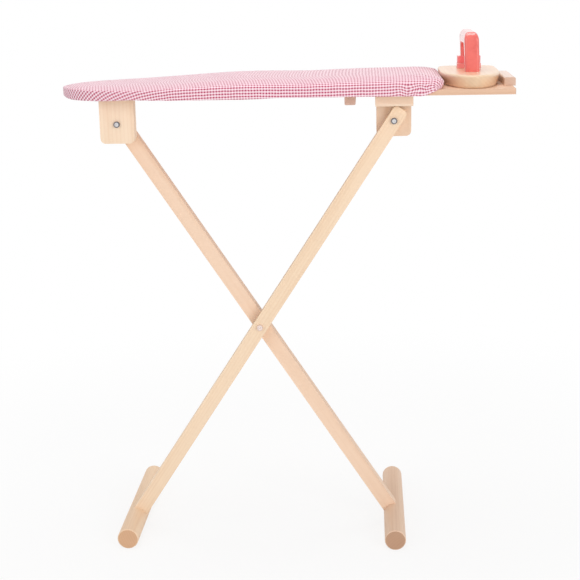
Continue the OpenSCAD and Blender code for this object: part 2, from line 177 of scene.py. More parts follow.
# Sanded wood. Noise scales are per millimetre, along the grain and across it.
# Shares say how far each kind of mark darkens the wood; the edge share, gain and lift paint a highlight on
# rounded edges.
TO_MM = 1000.0
CROSS_HINT = Vector((0.31, 0.83, 0.46))
SEED_STEP, PITH_AT = (173.0, 31.0, 17.0), (0.0, 14.0, 37.0)
WANDER_SCALE, WANDER_TURN = (0.006, 0.03), 9.0
FIBRE_SCALE, BROAD_SCALE, FLECK_SCALE, PORE_SCALE = (0.03, 1.5), (0.004, 0.10), (0.16, 2.2), 1.6
LINE_POWER, LINE_SHARE, FLECK_SHARE = 2.6, 0.16, 0.16
FIBRE_MID, FIBRE_SHARE, BROAD_MID, BROAD_SHARE = 0.5, 0.5, 0.42, 1.0
END_FACING, END_COVER, END_LINES, END_PORES, END_DARK = (0.72, 0.95), 0.85, 0.10, 0.5, 0.62
EDGE_HIGHLIGHT, EDGE_GAIN, EDGE_LIFT = 0.25, 1.12, 0.02
WOOD_BUMP, WOOD_BUMP_DEPTH, WOOD_ROUGH_SPAN, WOOD_COAT_ROUGH = 0.35, 0.00012, 0.22, 0.22


def wood(name, along, light, dark, end=None, ring=2.6, seed=0.0, rough=0.5, gloss=0.35, coat=0.0):
    """Fine sanded wood with its grain along a direction, growth lines, fibres, darker end grain and painted
    edge highlights.
    """
    t = Tree(name)
    a = Vector(along).normalized()
    b = a.cross(CROSS_HINT).normalized()
    p = t.scaled(t.coords(), TO_MM)
    s, u, v = (t.math("ADD", t.vec("DOT_PRODUCT", p, tuple(axis), 1), step * seed + start)
               for axis, step, start in zip((a, b, a.cross(b)), SEED_STEP, PITH_AT))

    def stretched(scale):
        k_along, k_across = scale
        parts = ((s, k_along), (u, k_across), (v, k_across))
        return t.node("CombineXYZ", {i: t.math("MULTIPLY", x, k) for i, (x, k) in enumerate(parts)})

    wander = t.noise(stretched(WANDER_SCALE), 1.0, 2.0)
    radius = t.math("SQRT", t.math("ADD", t.math("MULTIPLY", u, u), t.math("MULTIPLY", v, v)))
    phase = t.math("MULTIPLY_ADD", wander, WANDER_TURN, t.math("MULTIPLY", radius, 2 * math.pi / ring))
    lines = t.math("POWER", t.math("MULTIPLY_ADD", t.math("SINE", phase), 0.5, 0.5), LINE_POWER)
    fibre = t.noise(stretched(FIBRE_SCALE), 1.0, 4.0, 0.65)
    broad = t.noise(stretched(BROAD_SCALE), 1.0, 2.0)
    flecks = t.ramp(t.noise(stretched(FLECK_SCALE), 1.0, 1.0), 0.63, 0.78)
    tone = t.math("MULTIPLY", t.math("SUBTRACT", fibre, FIBRE_MID), FIBRE_SHARE)
    tone = t.math("MULTIPLY_ADD", lines, LINE_SHARE, tone)
    tone = t.math("ADD", tone, t.math("MULTIPLY", t.math("SUBTRACT", broad, BROAD_MID), BROAD_SHARE))
    tone = t.math("MULTIPLY_ADD", flecks, FLECK_SHARE, tone, clamp=True)
    colour = t.mix(tone, light, dark)
    facing = t.math("ABSOLUTE", t.vec("DOT_PRODUCT", t.coords("Normal"), tuple(a), 1))
    across = t.node("CombineXYZ", {i: t.math("MULTIPLY", x, PORE_SCALE) for i, x in enumerate((u, v))})
    pores = t.math("MULTIPLY", t.noise(across, 1.0, 3.0, 0.7), END_PORES)
    end_dark = dark if end is None else tuple(END_DARK * x for x in end[:3]) + (1.0,)
    ends = t.mix(t.math("MULTIPLY_ADD", lines, END_LINES, pores), end or light, end_dark)
    colour = t.mix(t.math("MULTIPLY", t.ramp(facing, *END_FACING), END_COVER), colour, ends)
    # Painted highlight: rounded edges are mixed towards a paler copy of the light colour.
    pale = tuple(min(1.0, x * EDGE_GAIN + EDGE_LIFT) for x in light[:3]) + (1.0,)
    colour = t.mix(t.math("MULTIPLY", edge_mask(t), EDGE_HIGHLIGHT), colour, pale)
    height = t.math("ADD", t.math("MULTIPLY", fibre, 0.7), t.math("MULTIPLY", lines, 0.3))
    shine = t.math("MULTIPLY_ADD", fibre, WOOD_ROUGH_SPAN, rough - WOOD_ROUGH_SPAN / 2)
    return t.set(Base_Color=colour, Roughness=shine, Normal=t.bump(height, WOOD_BUMP, WOOD_BUMP_DEPTH),
                 Specular_IOR_Level=gloss, Coat_Weight=coat, Coat_Roughness=WOOD_COAT_ROUGH)


# Paint: noise scales per metre, how strongly the painted edge highlight shows, and the clear coat's gloss.
MOTTLE_SCALE, DRAG_SCALE, SKIN_SCALE, HIGHLIGHT_PATCH_SCALE = 90.0, (900.0, 900.0, 60.0), 700.0, 260.0
PAINT_HIGHLIGHT_SHARE, PAINT_ROUGH, PAINT_ROUGH_SPAN, PAINT_SPECULAR = 0.55, 0.16, 0.14, 0.55
PAINT_COAT, PAINT_COAT_ROUGH, PAINT_BUMP, PAINT_BUMP_DEPTH = 0.85, 0.08, 0.12, 0.00006


def paint(name, base, deep, edge_highlight):
    """Satin paint on wood: faint brush drag, mottle, and a painted highlight on the edges, broken up in
    patches.
    """
    t = Tree(name)
    p = t.coords()
    mottle = t.noise(p, MOTTLE_SCALE, 3.0, 0.6)
    drag = t.noise(t.node("Mapping", {"Vector": p, "Scale": DRAG_SCALE}), 1.0, 2.0)
    skin = t.noise(p, SKIN_SCALE, 1.0)
    colour = t.mix(t.ramp(mottle, 0.35, 0.75), base, deep)
    # Painted highlight: rounded edges are mixed towards the paler colour in noisy patches.
    highlight_mask = t.math("MULTIPLY", edge_mask(t), t.ramp(t.noise(p, HIGHLIGHT_PATCH_SCALE, 2.0), 0.35, 0.7))
    colour = t.mix(t.math("MULTIPLY", highlight_mask, PAINT_HIGHLIGHT_SHARE), colour, edge_highlight)
    height = t.math("ADD", t.math("MULTIPLY", drag, 0.5), t.math("MULTIPLY", skin, 0.5))
    shine = t.math("MULTIPLY_ADD", mottle, PAINT_ROUGH_SPAN, PAINT_ROUGH)
    return t.set(Base_Color=colour, Roughness=shine, Coat_Weight=PAINT_COAT, Coat_Roughness=PAINT_COAT_ROUGH,
                 Normal=t.bump(height, PAINT_BUMP, PAINT_BUMP_DEPTH), Specular_IOR_Level=PAINT_SPECULAR)


# Metal: noise scales per metre, and where the painted dark reflection round a bolt head's rim starts and is
# full, in metres from its axis.
PLATE_SCALE, BRUSH_SCALE = 420.0, (2600.0, 300.0, 2600.0)
HEAD_SCALE, HEAD_BRUSH_SCALE, RIM_FROM, RIM_FULL, HEAD_DARK = 900.0, 2600.0, 0.0019, 0.0025, 0.74
METAL_ROUGH_SPAN, METAL_BUMP, METAL_BUMP_DEPTH = 0.2, 0.2, 0.00004


def steel(name):
    """Zinc plate: brushed metal with a faint blue-grey mottle."""
    t = Tree(name)
    p = t.coords()
    blotch = t.noise(p, PLATE_SCALE, 3.0, 0.6)
    brush = t.noise(t.node("Mapping", {"Vector": p, "Scale": BRUSH_SCALE}), 1.0, 2.0)
    colour = t.mix(t.ramp(blotch, 0.3, 0.75), srgb(214, 214, 216), srgb(176, 179, 186))
    shine = t.math("MULTIPLY_ADD", brush, METAL_ROUGH_SPAN, 0.24)
    return t.set(Base_Color=colour, Metallic=0.9, Roughness=shine,
                 Normal=t.bump(brush, METAL_BUMP, METAL_BUMP_DEPTH))


def bolt_steel(name, x, z, middle, reflection_pale, reflection_deep, metal):
    """Plate on a pivot bolt: a painted reflection of a domed head, bright in the middle and darker round the
    rim about its axis at x, z in metres.
    """
    t = Tree(name)
    p = t.coords()
    flat = t.vec("MULTIPLY", t.vec("SUBTRACT", p, (x, 0.0, z)), (1.0, 0.0, 1.0))
    # Painted reflection: towards the rim the head turns to darker colours, as a dome would mirror dark
    # surroundings.
    rim = t.ramp(t.vec("LENGTH", flat, None, 1), RIM_FROM, RIM_FULL)
    blotch = t.noise(p, HEAD_SCALE, 2.0, 0.6)
    colour = t.mix(t.ramp(blotch, 0.3, 0.75), middle, tuple(HEAD_DARK * v for v in middle[:3]) + (1.0,))
    colour = t.mix(rim, colour, t.mix(blotch, reflection_pale, reflection_deep))
    brush = t.noise(p, HEAD_BRUSH_SCALE, 2.0)
    shine = t.math("MULTIPLY_ADD", brush, METAL_ROUGH_SPAN, 0.26)
    return t.set(Base_Color=colour, Metallic=metal, Roughness=shine,
                 Normal=t.bump(brush, METAL_BUMP, METAL_BUMP_DEPTH))


# Gingham, in millimetres: how the yarns wander, how soft a stripe's edge is and the pitch of single threads.
# Then the shares of slubs, fading and single threads, and the nap.
WOBBLE_SCALE, WOBBLE_MM, STRIPE_EDGE, THREAD_PITCH = 0.09, 0.9, 0.18, 0.4
SLUB_STRETCH, SLUB_SHARE, FADE_SCALE, FADE_SHARE, WEAVE_SHARE = (0.5, 3.0, 1.0), 0.18, 22.0, 0.10, 0.04
CLOTH_ROUGH, CLOTH_SPECULAR, CLOTH_BUMP, CLOTH_BUMP_DEPTH = 0.86, 0.15, 0.3, 0.00015
SHEEN, SHEEN_ROUGH, SHEEN_TINT = 0.6, 0.45, (1.0, 0.96, 0.97, 1.0)


def gingham(name, check, white, pale, half, full):
    """Small woven check: coloured and white yarns each way, with threads, slubs and a soft nap."""
    t = Tree(name)
    p = t.scaled(t.node("UVMap", uv_map="cloth"), TO_MM)
    wobble = t.node("TexNoise", {"Vector": p, "Scale": WOBBLE_SCALE, "Detail": 1.0}, output=1)
    wobble = t.vec("MULTIPLY", t.vec("SUBTRACT", wobble, (0.5, 0.5, 0.5)), (WOBBLE_MM, WOBBLE_MM, 0.0))
    p = t.vec("ADD", p, wobble)
    xyz = t.nt.nodes.new("ShaderNodeSeparateXYZ")
    t.put(xyz.inputs[0], p)

    def wave(axis, turn):
        return t.math("SINE", t.math("MULTIPLY", xyz.outputs[axis], turn))

    columns, rows = (t.ramp(wave(axis, math.pi / check), -STRIPE_EDGE, STRIPE_EDGE) for axis in (0, 1))
    colour = t.mix(rows, t.mix(columns, white, pale), half)
    colour = t.mix(t.math("MULTIPLY", columns, rows), colour, full)
    weave = t.math("MULTIPLY", *(wave(axis, 2 * math.pi / THREAD_PITCH) for axis in (0, 1)))
    slub = t.noise(t.node("Mapping", {"Vector": p, "Scale": SLUB_STRETCH}), 1.0, 3.0, 0.6)
    fade = t.noise(t.coords(), FADE_SCALE, 2.0)
    colour = t.mix(t.math("MULTIPLY", t.ramp(slub, 0.42, 0.75), SLUB_SHARE), colour, white)
    colour = t.mix(t.math("MULTIPLY", t.ramp(fade, 0.45, 0.8), FADE_SHARE), colour, half)
    colour = t.mix(t.math("MULTIPLY_ADD", weave, -WEAVE_SHARE, WEAVE_SHARE), colour, full)
    height = t.math("MULTIPLY_ADD", weave, 0.35, t.math("MULTIPLY", slub, 0.6))
    return t.set(Base_Color=colour, Roughness=CLOTH_ROUGH, Sheen_Weight=SHEEN, Sheen_Roughness=SHEEN_ROUGH,
                 Sheen_Tint=SHEEN_TINT, Specular_IOR_Level=CLOTH_SPECULAR,
                 Normal=t.bump(height, CLOTH_BUMP, CLOTH_BUMP_DEPTH))


PALE, PALE_DARK = srgb(245, 219, 190), srgb(223, 184, 147)
DOWEL, DOWEL_DARK, DOWEL_END = srgb(226, 194, 168), srgb(196, 156, 126), srgb(205, 165, 132)
LEG_ANGLE = math.radians(56.8)
UP_RIGHT = Vector((math.cos(LEG_ANGLE), 0, math.sin(LEG_ANGLE)))
UP_LEFT = Vector((-UP_RIGHT.x, 0, UP_RIGHT.z))
ALONG_X, ALONG_Y, ALONG_Z = (1, 0, 0), (0, 1, 0), (0, 0, 1)
POLISHED = {"rough": 0.36, "gloss": 0.6, "coat": 0.5}
CHECK, THREAD_CHECK = 1.57, 0.9
M_STEEL = steel("zinc_steel")
# bolt looks: middle colour, the pale and deep colours of the painted dark reflection at the rim, and metallic
# share
BRIGHT_BOLT = srgb(232, 231, 232), srgb(128, 126, 130), srgb(96, 95, 102), 0.85
DULL_BOLT = srgb(255, 240, 234), srgb(236, 214, 204), srgb(220, 196, 186), 0.35
M_CLOTH = gingham("gingham_cloth", CHECK, srgb(252, 240, 245), srgb(247, 203, 216), srgb(238, 168, 187),
                  srgb(170, 55, 90))
M_THREAD = gingham("hem_thread", THREAD_CHECK, srgb(252, 236, 240), srgb(250, 224, 231), srgb(246, 212, 222),
                   srgb(236, 176, 194))
# paints: base and deep coral, then the paler colour of the painted edge highlight
M_GRIP = paint("coral_paint", srgb(240, 108, 98), srgb(228, 92, 84), srgb(252, 176, 164))
# The two tiers are one coral paint in two tones: the lower is paler, as painted light thrown up from the pale
# sole below it.
M_LOWER = paint("coral_lower_paint", srgb(238, 136, 134), srgb(228, 118, 115), srgb(252, 180, 170))
M_UPPER = paint("coral_upper_paint", srgb(243, 120, 121), srgb(232, 102, 104), srgb(252, 180, 170))
M_SOLE = wood("iron_sole_wood", ALONG_Y, srgb(241, 210, 176), srgb(219, 174, 132), srgb(237, 202, 165),
              ring=3.4, seed=5.3, **POLISHED)
M_DECK = wood("deck_wood", ALONG_X, srgb(227, 188, 160), srgb(207, 162, 132), srgb(221, 182, 154),
              ring=4.0, seed=1.7)
M_HIDDEN = wood("dowel_pin_wood", ALONG_Y, DOWEL, DOWEL_DARK, DOWEL_END, ring=1.6, seed=7.7)


# ---- wood pieces: the CAD shapes with their edges eased ----
def finish_mesh(obj, sharp_deg=40.0):
    """Smooth shading that keeps flat faces flat and crisp edges crisp."""
    bm = bmesh.new()
    bm.from_mesh(obj.data)
    for e in bm.edges:
        e.smooth = len(e.link_faces) == 2 and e.calc_face_angle(0.0) < math.radians(sharp_deg)
    for f in bm.faces:
        f.smooth = True
    bm.to_mesh(obj.data)
    bm.free()
    m = obj.modifiers.new("weighted_normals", "WEIGHTED_NORMAL")
    m.keep_sharp = True
    m.weight = 60
    return obj


def new_piece(name, bm, mat, body, replaces=()):
    me = bpy.data.meshes.new(name)
    bm.to_mesh(me)
    bm.free()
    me.materials.append(mat)
    obj = bpy.data.objects.new(name, me)
    SCENE.collection.objects.link(obj)
    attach(obj, body)
    if replaces:
        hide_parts(*replaces)
    return obj


WELD_DIST, FLAT_DEG, EASE_FROM_DEG, EASE_SEGMENTS = 2e-6, 0.4, 28.0, 3


def eased(node, width_mm, mat, slot, shift_mm):
    """A copy of a CAD node whose sharp edges are rounded over, in its place."""
    bm = bmesh.new()
    bm.from_mesh(NODES[node].data)
    bmesh.ops.remove_doubles(bm, verts=bm.verts, dist=WELD_DIST)
    bmesh.ops.dissolve_limit(bm, angle_limit=math.radians(FLAT_DEG), verts=bm.verts, edges=bm.edges)
    bmesh.ops.translate(bm, verts=bm.verts, vec=(shift_mm * MM, 0, 0))
    mark = bm.faces.layers.float.new("edge")
    sharp = math.radians(EASE_FROM_DEG)
    edges = [e for e in bm.edges if len(e.link_faces) == 2 and e.calc_face_angle(0.0) > sharp]
    cut = bmesh.ops.bevel(bm, geom=edges, offset=width_mm * MM, segments=EASE_SEGMENTS, profile=0.5,
                          affect="EDGES", clamp_overlap=True)
    for face in cut["faces"]:
        face[mark] = 1.0
    return finish_mesh(new_piece(node + "_eased", bm, mat, NODES[node]["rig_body"], (node,)))


TIER_SHIFT = 0.8
M_FRONT_LEG = wood("front_leg_wood", UP_RIGHT, PALE, PALE_DARK, ring=3.2, seed=0.4)
M_BACK_LEG = wood("back_leg_wood", UP_LEFT, srgb(244, 213, 187), srgb(224, 182, 148), ring=3.0, seed=2.1)
M_LEFT_PLATE = wood("left_plate_wood", ALONG_Z, srgb(248, 225, 199), srgb(226, 188, 152), ring=4.2, seed=3.3)
M_RIGHT_PLATE = wood("right_plate_wood", ALONG_Z, srgb(240, 215, 192), PALE_DARK, ring=4.0, seed=4.2)
M_LEFT_BLOCK = wood("left_block_wood", ALONG_X, srgb(247, 222, 196), srgb(226, 188, 154), ring=3.6, seed=5.1)
M_RIGHT_BLOCK = wood("right_block_wood", ALONG_X, srgb(250, 226, 202), srgb(228, 192, 160),
                     ring=3.8, seed=6.4)
M_BAR = wood("stop_bar_wood", ALONG_Y, srgb(234, 204, 184), srgb(214, 174, 150), srgb(226, 192, 170),
             ring=3.0, seed=2.7, **POLISHED)
M_CLEAT = wood("cleat_wood", ALONG_Y, srgb(231, 196, 178), srgb(209, 167, 143), srgb(226, 192, 174),
               ring=3.0, seed=8.3)
M_BACK_FOOT = wood("back_foot_wood", ALONG_Y, srgb(234, 203, 177), srgb(206, 166, 136), srgb(193, 149, 119),
                   ring=2.8, seed=9.1)
M_FRONT_FOOT = wood("front_foot_wood", ALONG_Y, srgb(243, 214, 183), srgb(220, 180, 146), srgb(222, 174, 135),
                    ring=2.8, seed=1.3)
# node, width of its rounded edges in millimetres, material, colour slot, shift to the right in millimetres
EASED = [
    ("front_leg", 1.2, M_FRONT_LEG, "pale_wood", 0.0),
    ("back_leg", 1.2, M_BACK_LEG, "pale_wood", 0.0),
    ("left_plate", 1.2, M_LEFT_PLATE, "pale_wood", 0.0),
    ("right_plate", 1.2, M_RIGHT_PLATE, "pale_wood", 0.0),
    ("left_block", 0.9, M_LEFT_BLOCK, "pale_wood", 0.0),
    ("right_block", 0.9, M_RIGHT_BLOCK, "pale_wood", 0.0),
    ("deck_board", 0.8, M_DECK, "pale_wood", 0.0),
    ("stop_bar", 0.8, M_BAR, "dowel_wood", 0.0),
    ("cross_cleat", 0.7, M_CLEAT, "dowel_wood", 0.0),
    ("back_foot", 0.8, M_BACK_FOOT, "dowel_wood", 0.0),
    ("front_foot", 0.8, M_FRONT_FOOT, "dowel_wood", 0.0),
    ("iron_tier_lower", 0.7, M_LOWER, "coral_paint", TIER_SHIFT),
    ("iron_tier_upper", 0.7, M_UPPER, "coral_paint", TIER_SHIFT),
]
for row in EASED:
    eased(*row)


# ---- lofts ----
def bridge(bm, loops):
    """Four-sided faces between each closed loop of points and the next."""
    n = len(loops[0])
    for a, b in zip(loops, loops[1:]):
        for j in range(n):
            bm.faces.new((a[j], a[(j + 1) % n], b[(j + 1) % n], b[j]))


def loft(rings, tip=None):
    """A closed skin through rings of equal length, with a fan at each end.

    With a tip, a strip across the last ring, starting at that point, closes it in place of a fan.
    """
    bm = bmesh.new()
    loops = [[bm.verts.new(p) for p in ring] for ring in rings]
    n = len(loops[0])
    bridge(bm, loops)
    for ring in (loops[0], loops[-1]) if tip is None else (loops[0],):
        c = bm.verts.new(sum((v.co for v in ring), Vector()) / n)
        for j in range(n):
            bm.faces.new((ring[j], ring[(j + 1) % n], c))
    if tip is not None:
        for k in range(n // 2):
            four = [loops[-1][(tip + q) % n] for q in (k, k + 1, -k - 1, -k)]
            bm.faces.new(list(dict.fromkeys(four)))
    bmesh.ops.recalc_face_normals(bm, faces=bm.faces)
    return bm


def spow(v, p):
    return math.copysign(abs(v) ** p, v)


# ---- the iron's sole: a rounded point towards the viewer and sides drawn in to the bottom ----
SOLE_LO, SOLE_HI = (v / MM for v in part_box("iron_sole"))
SOLE_X = (SOLE_LO.x + SOLE_HI.x) / 2
SOLE_W, SOLE_LEN, SOLE_T = SOLE_HI.x - SOLE_LO.x, SOLE_HI.y - SOLE_LO.y, SOLE_HI.z - SOLE_LO.z
SOLE_DRAFT, SOLE_POINT, SOLE_HEEL_R, SOLE_FULL = 2.5, 0.59, 15.0, 2.0
SOLE_TIP_STEPS, SOLE_CORNER_STEPS, SOLE_SIDE_STEPS = 96, 12, 7
# rings from the bottom up: inset beyond the draft, and height
SOLE_FOOT = ((9, 0.0), (1.2, 0.0), (0.35, 0.3), (-0.3, 0.9))
# rings over the top edge: inset, and depth below the top
SOLE_EDGE = ((0.25, 1.5), (0.75, 0.75), (1.5, 0.25), (2.6, 0.0), (9.0, 0.0))
SOLE_BELLY, SOLE_SIDE_INSET, SOLE_SIDE_FROM, SOLE_SIDE_LESS = 1.12, 0.3, 0.9, 3.4


def sole_plan(d):
    """The sole's plan drawn in by d, as points from the right round the point and then round the heel."""
    w, nose, power = SOLE_W / 2 - d, SOLE_LEN * SOLE_POINT, 2 / SOLE_FULL
    y0, r = SOLE_LO.y + nose, SOLE_HEEL_R - d
    pts = []
    for i in range(SOLE_TIP_STEPS + 1):
        a = math.pi * i / SOLE_TIP_STEPS
        pts.append((w * spow(math.cos(a), power), y0 - (nose - d) * spow(math.sin(a), power)))
    for x, start in ((r - w, math.pi), (w - r, math.pi / 2)):
        for i in range(SOLE_CORNER_STEPS + 1):
            a = start - math.pi / 2 * i / SOLE_CORNER_STEPS
            pts.append((x + r * math.cos(a), SOLE_HI.y - d - r + r * math.sin(a)))
    return pts


def make_sole():
    table = [(SOLE_DRAFT + inset, z) for inset, z in SOLE_FOOT]
    for i in range(1, SOLE_SIDE_STEPS + 1):
        up = i / SOLE_SIDE_STEPS
        inset = SOLE_DRAFT * (1 - up) ** SOLE_BELLY - SOLE_SIDE_INSET * (1 - up)
        table.append((inset, SOLE_SIDE_FROM + up * (SOLE_T - SOLE_SIDE_LESS)))
    table += [(inset, SOLE_T - below) for inset, below in SOLE_EDGE]
    rings = [[Vector((SOLE_X + x, y, SOLE_LO.z + z)) * MM for x, y in sole_plan(d)] for d, z in table]
    finish_mesh(new_piece("iron_sole_shaped", loft(rings), M_SOLE, "iron", ("iron_sole",)))


make_sole()


# ---- the iron's handle: an arch sawn from one board, its edges rounded over ----
GRIP_LO, GRIP_HI = (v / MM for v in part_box("iron_handle"))
GRIP_T, GRIP_R, GRIP_EYE_R, GRIP_EASE = 14.0, 9.0, 6.0, 3.2
GRIP_CROWN, GRIP_NARROW, GRIP_LEAN, GRIP_SHIFT = 9.0, 0.3, 1.6, 1.0
GRIP_ARC_STEPS, GRIP_EASE_STEPS = 16, 6


def quarter(y, z, r, first, step):
    """A quarter circle about y, z that starts at an angle and turns by a step at a time."""
    angles = [first + step * i for i in range(GRIP_ARC_STEPS + 1)]
    return [(y + r * math.cos(a), z + r * math.sin(a)) for a in angles]


def grip_profile(d):
    """The arch seen from its side, drawn in by d: from the front foot over the top and back inside."""
    step = math.pi / 2 / GRIP_ARC_STEPS
    y0, y1, top, foot, r = GRIP_LO.y + d, GRIP_HI.y - d, GRIP_HI.z - d, GRIP_LO.z, GRIP_R - d
    over = quarter(y0 + r, top - r, r, math.pi, -step) + quarter(y1 - r, top - r, r, math.pi / 2, -step)
    pts = [(y0, foot), *over, (y1, foot)]
    y0, y1, r = GRIP_LO.y + GRIP_T - d, GRIP_HI.y - GRIP_T + d, GRIP_EYE_R + d
    top = GRIP_HI.z - GRIP_T + d
    inside = quarter(y1 - r, top - r, r, 0.0, step) + quarter(y0 + r, top - r, r, math.pi / 2, step)
    return pts + [(y1, foot), *inside, (y0, foot)]


def make_grip():
    half = (GRIP_HI.x - GRIP_LO.x) / 2
    turns = [math.pi / 2 * i / GRIP_EASE_STEPS for i in range(GRIP_EASE_STEPS + 1)]
    table = [(GRIP_EASE * (1 - math.sin(a)), half - GRIP_EASE + GRIP_EASE * math.cos(a)) for a in turns]
    bm = bmesh.new()
    loops = []
    for side, rows in ((-1, table), (1, table[::-1])):
        for d, x in rows:
            ring = []
            for y, z in grip_profile(d):
                near_top = max(0.0, (z - GRIP_HI.z) / GRIP_CROWN + 1)
                lean = GRIP_LEAN * (z - GRIP_LO.z) / (GRIP_HI.z - GRIP_LO.z)
                across = side * x * (1 - GRIP_NARROW * near_top ** 2)
                ring.append(bm.verts.new(Vector((SOLE_X + GRIP_SHIFT - lean + across, y, z)) * MM))
            loops.append(ring)
    bridge(bm, loops)
    bm.faces.new(loops[0][::-1])
    bm.faces.new(loops[-1])
    bmesh.ops.recalc_face_normals(bm, faces=bm.faces)
    bmesh.ops.triangulate(bm, faces=[f for f in bm.faces if len(f.verts) > 4])
    finish_mesh(new_piece("iron_handle_shaped", bm, M_GRIP, "iron", ("iron_handle",)))


make_grip()


# ---- the padded cover, in millimetres ----
DECK_LO, DECK_HI = (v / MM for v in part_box("deck_board"))
PAD_LO, PAD_HI = (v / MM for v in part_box("pad_cushion"))
DECK_Z, DECK_TOP, HALF = DECK_LO.z, DECK_HI.z, (DECK_HI.y - DECK_LO.y) / 2
SWELL = 2.2
TIP, HEEL = PAD_LO.x + SWELL, PAD_HI.x - SWELL
NOSE_LEN, NOSE_FULL, HEEL_R = 150.0, 2.0, 16.0
PAD_NOSE, PAD_HEEL, PAD_FROM, PAD_RISE, PAD_CROWN = 5.6, 12.8, 68.0, 230.0, 2.0
# the wadding's hump and hollow along the board, and how they are averaged
LUMP_X = (-230, -209, -154, -98, -50, -30, 13, 68, 124, 157, 190)
LUMP_Z = (-1.5, -1.8, -0.7, 0.4, 0.7, 0.0, -3.0, -1.6, -0.4, -0.2, -0.2)
LUMP_BLUR = (-24, -12, 0, 12, 24)
LIP = 12.0


def smooth(x, lo, hi):
    t = np.clip((np.asarray(x, float) - lo) / (hi - lo), 0, 1)
    return t * t * (3 - 2 * t)


def pad_at(x):
    """Thickness of the wadding at x, with a soft hump and hollow in its middle."""
    x = np.asarray(x, float)
    lumps = sum(np.interp(x + o, LUMP_X, LUMP_Z) for o in LUMP_BLUR) / len(LUMP_BLUR)
    grown = smooth(x, TIP + PAD_FROM, TIP + PAD_FROM + PAD_RISE)
    return PAD_NOSE + (PAD_HEEL - PAD_NOSE) * grown + lumps


N_NOSE, N_SIDE, N_CORNER, N_END = 110, 70, 16, 26
LEAST_R, MOST_R_SHARE = 3.0, 0.9


def outline(d, corner=HEEL_R):
    """The cover's plan drawn in by d, as points in a fixed order from the far side round the nose."""
    h, nose, x0 = HALF - d, NOSE_LEN - d, TIP + NOSE_LEN
    r = min(max(corner - d, LEAST_R), MOST_R_SHARE * h)
    e = HEEL - d - r
    a = np.radians(90 - 180 * np.arange(N_NOSE + 1) / N_NOSE)
    cos, sin = (np.sign(v) * np.abs(v) ** (2 / NOSE_FULL) for v in (np.cos(a), np.sin(a)))
    parts = [np.stack([x0 - nose * cos, h * sin], 1)]
    k = np.arange(1, N_SIDE + 1) / N_SIDE
    parts.append(np.stack([x0 + (e - x0) * k, np.full_like(k, -h)], 1))
    c = np.radians(-90 + 90 * np.arange(1, N_CORNER + 1) / N_CORNER)
    parts.append(np.stack([e + r * np.cos(c), r - h + r * np.sin(c)], 1))
    m = np.arange(1, N_END) / N_END
    parts.append(np.stack([np.full_like(m, e + r), (2 * m - 1) * (h - r)], 1))
    c = np.radians(90 * np.arange(0, N_CORNER + 1) / N_CORNER)
    parts.append(np.stack([e + r * np.cos(c), h - r + r * np.sin(c)], 1))
    k = np.arange(1, N_SIDE) / N_SIDE
    parts.append(np.stack([e - (e - x0) * k, np.full_like(k, h)], 1))
    return np.concatenate(parts)


EDGE = outline(0.0)
N_RING = len(EDGE)
TANGENT = np.roll(EDGE, -1, 0) - np.roll(EDGE, 1, 0)
TANGENT /= np.linalg.norm(TANGENT, axis=1)[:, None]
OUTWARD = np.stack([-TANGENT[:, 1], TANGENT[:, 0]], 1)
OUTWARD *= np.sign(((EDGE - EDGE.mean(0)) * OUTWARD).sum(1))[:, None]
HEM_CORNER = 7.0
HEM_EDGE = outline(0.0, HEM_CORNER)
# near the iron rest the hem is tucked out from under the board and then rises on to it
TUCK_END = smooth(HEM_EDGE[:, 0], HEEL - 54, HEEL - 27)
RISE_END = smooth(HEM_EDGE[:, 0], HEEL - 26, HEEL - 1) ** 1.6
HEM_ROUND, PAD_ROUND = smooth(RISE_END, 0.8, 1.0), smooth(EDGE[:, 0], HEEL - 20, HEEL - 3)
# the padding's end seen from the side: share of its height, and inset
END_PROFILE = (
    [0, 0.1, 0.2, 0.3, 0.45, 0.57, 0.7, 0.8, 0.9, 1.0],
    [1.4, 0.5, -0.5, -1.3, -2.1, -2.2, -2.0, -1.3, 0.8, 4.5],
)
# rings of the padding's underside: inset; they lie just above the board
UNDER_INSETS, UNDER_GAP = (66.0, 34.0, 1.2), 0.06
# rings of the hem: inset, share of the waves, height over the board's underside, share of the sag,
# inset where it is tucked out, and height over the board's top where it rises
HEM_ROWS = (
    (-0.15, 0, 5.6, 0, -0.15, 0.06), (-0.15, 0, 0.4, 0, -0.15, 0.07), (LIP, 0, -0.12, 0, -0.15, 0.08),
    (LIP + 0.5, 0, -0.2, 0.5, -0.3, 0.09), (LIP - 0.6, 0, -0.3, 1.0, -0.5, 0.10),
    (LIP - 4.0, 0, -0.3, 0.8, -0.7, 0.12), (4.0, 0, -0.35, 0.9, -0.95, 0.16), (1.0, 0, -0.3, 1.0, -1.2, 0.24),
    (-0.8, 0, -0.05, 0.9, -1.5, 0.45), (-1.6, 0.25, 0.8, 0.4, -1.7, 0.8), (-1.9, 0.3, 2.6, 0, -1.9, 1.2),
    (-1.9, 0.2, 4.6, 0, -2.05, 1.6),
)
